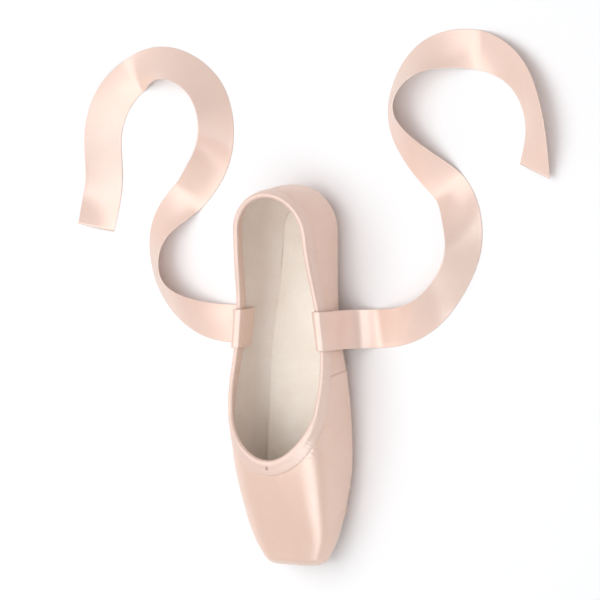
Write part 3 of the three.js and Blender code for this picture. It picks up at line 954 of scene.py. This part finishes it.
def near_line(points, line):
    """How far points are from a line, and how far along it the nearest place is, 0 to 1."""
    apart = np.full(points.shape[:-1], np.inf)
    share = np.zeros(points.shape[:-1])
    for k in range(len(line) - 1):
        a, step = line[k], line[k + 1] - line[k]
        t = np.clip(((points - a) @ step) / (step @ step), 0, 1)
        d = np.linalg.norm(points - a - t[..., None] * step, axis=-1)
        share = np.where(d < apart, (k + t) / (len(line) - 1), share)
        apart = np.minimum(apart, d)
    return apart, share


print(len(CREASES["side"]), "creases")

# %% Relief
relief = pleat_height + gather_height + edge_puckers()
# Painted shade, 0 to 1: darker at each pleat's folded edge and between the heel gathers; the seams
# add theirs below.
hollow = np.maximum(pleat_edge_shade * 0.8, gather_painted_shade * 0.4)
for *line, width, depth in zip(*CREASES.values(), strict=True):
    apart, share = near_line(outside, line_on_last(*line))
    relief -= depth * hump(apart, width) * np.sin(math.pi * np.clip(share, 0.03, 0.97)) ** 0.7
for side in (1, -1):
    line = line_on_last(side, *SIDE_SEAM.values())
    apart, share = near_line(outside, line)
    middle = line[np.round(share * (len(line) - 1)).astype(int)]
    ahead = outside[..., 1] < middle[..., 1]
    pucker = 1 + 0.5 * np.sin(share * 46 + side)
    lap = np.where(ahead, 0.5 * hump(apart, 3.6), 0)
    ease = np.where(ahead, 0, 0.18 * pucker * hump(apart - 2.4, 1.6))
    relief += lap + ease - 0.26 * hump(apart, 0.45)
    # Painted shade along the side seam's groove.
    hollow = np.maximum(hollow, 0.5 * hump(apart, 0.4))
x, at, z = np.moveaxis(outside, -1, 0)
back_line = np.abs(x) + np.where(at > 200, 0, 99)
relief -= 0.35 * hump(back_line, 0.7) - 0.12 * hump(back_line - 2, 1.2)
# Painted shade along the back seam's groove.
hollow = np.maximum(hollow, 0.8 * hump(back_line, 0.5))
relief += 0.12 * np.sin(at / 17 + x / 11) * np.sin(z / 9 + at / 31)
relief *= smooth(6.6, 8.6, from_collar)
print("relief from", round(float(relief.min()), 2), "to", round(float(relief.max()), 2), "mm")

# %% [markdown]
# Where the pleated satin turns under the toe and faces down, it is painted paler, as a painted
# reflection of the pale floor, and a fainter pale band is painted round the platform's edge. That
# is kept as an attribute of the mesh, strongest between the sole's toe end and the platform, and
# the satin's material mixes its colour by it.


# %% The upper's mesh
# Painted reflection of the pale floor: paler where the toe's underside faces down, varying from
# pleat to pleat, with a fainter pale band round the platform's edge.
toe_under = 1 - smooth(20, 34, outside[..., 1])
facing_down = smooth(-0.1, 0.45, -outward[..., 2])
rubbed = toe_under * facing_down * (0.75 + 0.25 * np.sin(run_loop[:, None] * 1.7 + 0.2 * from_sole))
rubbed = np.maximum(rubbed, 0.35 * (1 - smooth(1.2, 4.6, outside[..., 1])))
INNER_ROWS = 30
inner_index = np.round(np.linspace(ROWS - 1, 0, INNER_ROWS)).astype(int)
inside = (outside - outward * wall[..., None])[:, inner_index]
skin = outside + outward * relief[..., None]
ring = np.concatenate([skin, inside], axis=1)
down_inside = from_sole[:, -1:] + 3 + from_sole[:, -1:] - from_sole[:, inner_index]
ring_v = np.concatenate([from_sole, down_inside], axis=1) * MM
ring_u = np.broadcast_to(along_loop[:, None] * MM, ring_v.shape)
slots = [0] * (ROWS - 1) + [1] * (INNER_ROWS + 1)
upper_mesh = grid_mesh(
    "upper_satin_and_lining",
    place(ring),
    [UPPER_SATIN, LINING_COTTON],
    (ring_u, ring_v),
    loop=True,
    slots=slots,
)
# Painted shade in the hollows and a pale painted reflection under the toe, kept for the satin's
# colour; the lining rows get none.
paint(upper_mesh, "hollow", np.hstack([hollow, 0 * inside[..., 0]]))
paint(upper_mesh, "rubbed", np.hstack([rubbed, 0 * inside[..., 0]]))
add_piece(upper_mesh, ["upper"])

# %% [markdown]
# ## The collar binding
#
# A bias strip of the same satin is folded over the collar and stitched down. Inside its fold runs
# the drawstring, so the rim is a soft bead, and the strip is drawn in by it: it puckers finely all
# the way round. In section the binding is a U, so the mesh is a closed ring of such sections.


# %% Lines along the collar
BINDING_DEPTH = 8.2
BEAD = 1.35
SEWN_AT = BINDING_DEPTH - 1.3

outside_half, outward_half = outside[:STATIONS], outward[:STATIONS]
rim_wall = wall[:STATIONS, -1]


def collar_line(depth, out):
    """Points a depth below the rim, measured down the outside, and pushed out along the normal."""
    rows = np.arange(ROWS, dtype=float)
    spot = np.stack([np.interp(-depth, -down, rows) for down in from_collar[:STATIONS]])
    low = np.clip(spot.astype(int), 0, ROWS - 2)
    share = (spot - low)[:, None]
    station = np.arange(STATIONS)

    def between(values):
        return values[station, low] * (1 - share) + values[station, low + 1] * share

    return between(outside_half) + unit(between(outward_half)) * np.asarray(out)[..., None]


print("the rim runs", round(2 * float(running(collar_line(0, 0))[-1])), "mm round the collar")


# %% Binding sections
def proud_of_satin(depth, pucker):
    """How far the strip stands off the satin: a bead at the rim, drawn in where it is sewn."""
    hem = smooth(BINDING_DEPTH, BINDING_DEPTH - 0.8, depth)
    swell = 0.28 * hump(depth - 1.6, 1.5) - 0.14 * hump(depth - SEWN_AT, 0.45)
    ruck = 0.075 * pucker * math.sin(math.pi * min(depth / BINDING_DEPTH, 1)) ** 0.7
    return 0.12 + (0.52 + swell) * math.sqrt(max(hem, 0)) + ruck * hem


def binding_sections():
    """The binding's U at each station: up from the hem to the rim, over it, and back inside."""
    rim, rim_out = outside_half[:, -1], outward_half[:, -1]
    up = unit(rim - collar_line(1.5, 0))
    pucker = np.sin(along * 2 * math.pi / 3.9 + 1.3 * np.sin(along / 23))
    pucker += 0.5 * np.sin(along * 2 * math.pi / 2.3 + 2 * np.sin(along / 31))
    lobe = 1 + 0.05 * pucker
    half = rim_wall / 2 + 0.75
    centre = rim - rim_out * (rim_wall / 2)[:, None]
    outer = np.linspace(BINDING_DEPTH, 0.6, 16)
    columns = [collar_line(depth, proud_of_satin(depth, pucker)) for depth in outer]
    for angle in np.radians(np.linspace(10, 170, 11)):
        across, over = half * math.cos(angle) * lobe, BEAD * math.sin(angle) * lobe
        columns.append(centre + rim_out * across[:, None] + up * over[:, None])
    for depth in np.linspace(0.6, BINDING_DEPTH, 12):
        columns.append(collar_line(depth, -rim_wall - proud_of_satin(depth, pucker)))
    against_wall = np.linspace(BINDING_DEPTH, 0, 5)
    columns += [collar_line(depth, -rim_wall - 0.06) for depth in against_wall]
    columns.append(centre + up * 0.08)
    columns += [collar_line(depth, 0.06) for depth in against_wall[::-1]]
    return np.stack(columns, axis=1)


sections = both_sides(binding_sections())
binding_v = running(sections).mean(axis=0) * MM + 0 * sections[..., 0]
binding_uv = along_loop[:, None] * MM + 0 * binding_v, binding_v
binding_mesh = grid_mesh(
    "collar_binding_strip", place(sections), [BINDING_SATIN], binding_uv, loop=True
)
add_piece(binding_mesh, ["collar_binding"])

# %% [markdown]
# ## Stitches
#
# A row of stitches is one small rounded thread repeated along a line, and that is what Geometry
# Nodes are for. The tree below takes edges as its line, resamples them to the stitch pitch, sets
# one low-poly capsule on each point, turned along the line, and makes the copies real. The result
# is kept as a plain mesh, so it exports like any other piece.


# %% Stitch tree
def stitch_tree():
    """The Geometry Nodes tree: edges in, one small thread to each pitch along them out."""
    inputs = (
        ("Line", "Geometry", None),
        ("Pitch", "Float", 0.0026),
        ("Stitch length", "Float", 0.002),
        ("Thread radius", "Float", 0.0002),
        ("Unevenness", "Float", 0.12),
        ("Seed", "Int", 4),
        ("Thread", "Material", None),
    )
    name, output = "stitches along a line", ("Stitches", "Geometry")
    tree, given, made = new_group("GeometryNodeTree", name, inputs, output)

    def add(kind, feeds=None, **settings):
        return add_node(tree, kind, feeds, **settings).outputs[0]

    curve = add("GeometryNodeMeshToCurve", {0: given["Line"]})
    feeds = {"Curve": curve, "Length": given["Pitch"]}
    spaced = add("GeometryNodeResampleCurve", feeds, mode="LENGTH")
    bead = add("GeometryNodeMeshUVSphere", {"Segments": 10, "Rings": 8, "Radius": 1.0})
    half = add("ShaderNodeMath", {0: given["Stitch length"], 1: 0.5}, operation="MULTIPLY")
    thick = given["Thread radius"]
    size = add("ShaderNodeCombineXYZ", {0: half, 1: thick, 2: thick})
    shaped = add("GeometryNodeTransform", {"Geometry": bead, "Scale": size})
    tangent = add("GeometryNodeInputTangent")
    turn = add("FunctionNodeAlignRotationToVector", {"Vector": tangent}, axis="X")
    feeds = {0: (-1, -1, -1), 1: (1, 1, 1), "Seed": given["Seed"]}
    luck = add("FunctionNodeRandomValue", feeds, data_type="FLOAT_VECTOR")
    feeds = {0: luck, "Scale": given["Unevenness"]}
    wobble = add("ShaderNodeVectorMath", feeds, operation="SCALE")
    feeds = {"Rotation": turn, "Rotate By": wobble}
    twist = add("FunctionNodeRotateRotation", feeds, rotation_space="LOCAL")
    feeds = {"Points": spaced, "Instance": shaped, "Rotation": twist}
    real = add("GeometryNodeRealizeInstances", {0: add("GeometryNodeInstanceOnPoints", feeds)})
    soft = add("GeometryNodeSetShadeSmooth", {"Geometry": real})
    coat = add("GeometryNodeSetMaterial", {"Geometry": soft, "Material": given["Thread"]})
    feed(tree, made.inputs[0], coat)
    return tree


STITCHES = stitch_tree()
print("stitch tree:", len(STITCHES.nodes), "nodes")


# %% Rows of stitches
def stitch_rows(name, lines, pitch, length, radius, thread_material=SEWING_THREAD, seed=4):
    """One piece made of stitches along every line given, in millimetres on the last."""
    points, edges = [], []
    for line, closed in lines:
        first = len(points)
        points += place(line).tolist()
        edges += [(first + k, first + k + 1) for k in range(len(line) - 1)]
        if closed:
            edges.append((len(points) - 1, first))
    guide_mesh = bpy.data.meshes.new(name + "_line")
    guide_mesh.from_pydata(points, edges, [])
    guide = new_object(name + "_line", guide_mesh)
    modifier = guide.modifiers.new("stitches", "NODES")
    modifier.node_group = STITCHES
    values = {
        "Pitch": pitch * MM,
        "Stitch length": length * MM,
        "Thread radius": radius * MM,
        "Seed": seed,
        "Thread": thread_material,
    }
    for item in STITCHES.interface.items_tree:
        if item.name in values:
            modifier[item.identifier] = values[item.name]
    graph = bpy.context.evaluated_depsgraph_get()
    mesh = bpy.data.meshes.new_from_object(guide.evaluated_get(graph), depsgraph=graph)
    mesh.name = name
    bpy.data.objects.remove(guide)
    return add_piece(mesh, ())


# %% [markdown]
# Rows of stitches hold the binding down, inside and out. At the middle of the throat the
# drawstring leaves its casing through a short slit, and two tucked ends are all that shows of it.
# The ribbons are held inside the quarters by a stitched box each.


# %% Stitch rows on the shoe
def ribbon_patch(ribbon, side, low=2.0, high=13.0, wide=0.86):
    """The stitched box that holds a ribbon, on the face that looks into the shoe."""
    up, over = np.linspace(low, high, 10), np.linspace(-wide, wide, 20)
    t = np.concatenate([np.full(20, low), up, np.full(20, high), up[::-1]])
    s = np.concatenate([over, np.full(10, wide), over[::-1], np.full(10, -wide)])
    return ribbon.at(t, s, np.array(0.25 * side)) + np.array([0, LENGTH / 2, 0])


def drawstring_end(x):
    """A short end of cord where it leaves the casing, just below the rim."""
    line = np.stack([collar_line(depth, 0.75)[0] for depth in np.linspace(1.9, 3.9, 8)])
    line[:, 0] = x
    return line


outer_row = both_sides(collar_line(SEWN_AT, 0.5))
inner_row = both_sides(collar_line(SEWN_AT, -rim_wall - 0.58))
boxes = [(ribbon_patch(right_ribbon, 1), True), (ribbon_patch(left_ribbon, -1), True)]
ends = [(drawstring_end(x), False) for x in (-0.4, 0.4)]
stitch_rows("binding_stitches", [(outer_row, True)], 3.0, 2.2, 0.17)
stitch_rows("binding_inner_stitches", [(inner_row, True)], 3.0, 2.2, 0.18)
stitch_rows("ribbon_stitches", boxes, 2.2, 1.6, 0.17)
stitch_rows("drawstring_tack", ends, 0.4, 0.95, 0.32, STRING_THREAD, seed=9)

# %% [markdown]
# ## The outsole
#
# The sole is a thin piece of leather, cut long and narrow at the waist and sewn on from inside, so
# no stitches show, only a rounded edge that is browner than its face. It is a ladder of rungs that
# join each station to its mirror, with the rounding worked out from each point's distance to the
# outline. Its upper face is the little of the floor that shows ahead of the insole, so it is
# lined.


# %% Outsole
def rung_ladder(edge_points, across):
    """Points on straight rungs between each edge point and its mirror, before they get a height."""
    share = np.sin(np.linspace(-1, 1, across) * math.pi / 2)
    x = edge_points[:, :1] * share
    return x, np.broadcast_to(edge_points[:, 1:2], x.shape)


def distance_to_outline(x, at, outline_xy):
    """How far places in plan are from the sole's outline, on either side."""
    apart = np.full(x.shape, np.inf)
    for px, py in outline_xy:
        apart = np.minimum(apart, np.hypot(np.abs(x) - px, at - py))
    return apart


def flat_uv(grid):
    """A map that looks straight down, in metres."""
    return grid[..., 0] * MM, grid[..., 1] * MM


def outsole_mesh(across=61):
    """The sole, its underside 1.2 mm proud of the satin, let into the opening of the upper."""
    low = edge - 0.25 * plan
    high = edge - last_normal(edge) * form["wall"](edge[:, 1])[:, None] - 0.25 * plan
    x, at = rung_ladder(low, across)
    apart = distance_to_outline(x, at, low[:, :2])
    rounding = 1 - np.sqrt(1 - np.clip(1 - apart / 1.1, 0, 1) ** 2)
    bottom_z = np.maximum(0, underside(x, at)[..., 2] - 1.2) + 0.85 * rounding
    top_x, top_at = rung_ladder(high, across)
    top = underside(top_x, top_at)
    top[..., 2] += form["wall"](top_at)
    grid = np.concatenate([np.stack([x, at, bottom_z], axis=-1), top[:, ::-1]], axis=1)
    slots = [0] * across + [1] * (across - 1) + [0]
    materials = [SOLE_LEATHER, LINING_COTTON]
    mesh = grid_mesh("outsole_leather", place(grid), materials, flat_uv(grid), slots=slots)
    paint(mesh, "edge", np.hstack([hump(apart, 0.75), np.ones(x.shape)]))
    paint(mesh, "floor", np.hstack([1 - smooth(0.05, 0.5, bottom_z), np.zeros(x.shape)]))
    return mesh


add_piece(outsole_mesh(), ["outsole"])

# %% [markdown]
# ## The insole
#
# The foot stands on a board covered in cotton. It follows the bottom of the last, a little cupped,
# and its cover is turned over a soft edge. Little of it shows under the collar, so it is one plain
# crowned plate with a shallow groove inside the edge, where the cover is drawn down.


# %% Insole
INSOLE_TOE, INSOLE_ROUND, INSOLE_CLEAR, INSOLE_EDGE = 34.0, 22.0, 0.3, 1.6


def insole_square(at):
    """The square of the insole's half width: the lining's outline drawn in all round by 3 mm."""
    lift = form["wall"](at) + INSOLE_CLEAR
    low = np.stack([0 * at, at, form["base"](at) + lift + 1.1], axis=-1)
    side = cast(low, np.array([1.0, 0.0, 0.0]))
    inner = side - last_normal(side) * lift[:, None]
    behind = np.maximum(0, at - HEEL_CENTRE) * form["half"](at) / (LENGTH - HEEL_CENTRE)
    return (np.hypot(inner[:, 0], behind) - 3) ** 2 - behind**2


def quarter_round(inward):
    """The height of a rounded edge, 0 at the edge itself and 1 from INSOLE_EDGE inward."""
    return np.sqrt(1 - (1 - np.clip(inward / INSOLE_EDGE, 0, 1)) ** 2)


def insole_mesh(rows=150, across=41):
    """The board, from its square-cut toe end to where its width closes to about 4 mm."""
    at = np.linspace(HEEL_CENTRE, LENGTH - 6, 400)
    end = at[insole_square(at) > 4].max()
    at = INSOLE_TOE + (end - INSOLE_TOE) * (1 - np.cos(np.linspace(0, math.pi, rows))) / 2
    toe = np.maximum(0, (INSOLE_TOE + INSOLE_ROUND - at) / INSOLE_ROUND)
    half = np.sqrt(insole_square(at)) * np.sqrt(1 - 0.75 * toe**2)
    lift = form["wall"](at)[:, None] + INSOLE_CLEAR
    x, at = rung_ladder(np.stack([half, at], axis=-1), across)
    share = x / half[:, None]
    floor = underside(x, at)[..., 2] + lift * (1 + 0.22 * share**2)
    inward = (1 - np.abs(share)) * half[:, None]
    soft = quarter_round(inward) * quarter_round(np.minimum(at - INSOLE_TOE, end - at))
    top = floor + 0.6 + 1.6 * soft - 0.25 * hump(inward - 4, 0.6)
    faces = [np.stack([x, at, floor], -1), np.stack([x, at, top], -1)[:, ::-1]]
    grid = np.concatenate(faces, axis=1)
    return grid_mesh("insole_board", place(grid), [INSOLE_COTTON], flat_uv(grid))


add_piece(insole_mesh(), ["insole"])
